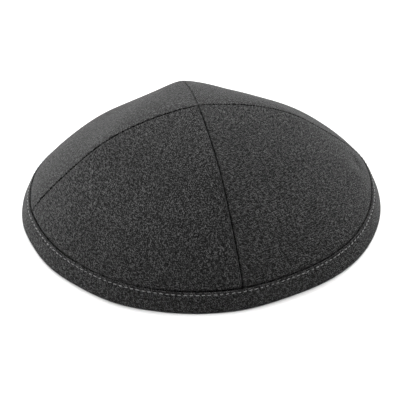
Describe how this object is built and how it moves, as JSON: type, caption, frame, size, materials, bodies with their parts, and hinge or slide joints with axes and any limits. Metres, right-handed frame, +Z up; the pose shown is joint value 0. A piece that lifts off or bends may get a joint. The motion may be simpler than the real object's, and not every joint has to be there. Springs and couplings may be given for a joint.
{
  "type": "fabric kippah",
  "caption": "Domed wool kippah of sewn wedge panels with a folded self-fabric rim band, hollow and open below.",
  "frame": {"origin": "on the resting plane, under the middle of the kippah's box", "axes": "+Z up through the crown, +X along the rim's longer way, -Y towards the front that the picture shows"},
  "size_m": [0.183, 0.177, 0.0604],
  "materials": {
    "crown_wool": "matt charcoal melange wool suiting",
    "band_wool": "matt charcoal melange wool suiting, folded and topstitched"
  },
  "bodies": {
    "root": {"panel_front_left": "crown_wool", "panel_front_right": "crown_wool", "panel_back_left": "crown_wool", "panel_back_right": "crown_wool", "rim_band": "band_wool"}
  },
  "joints": []
}
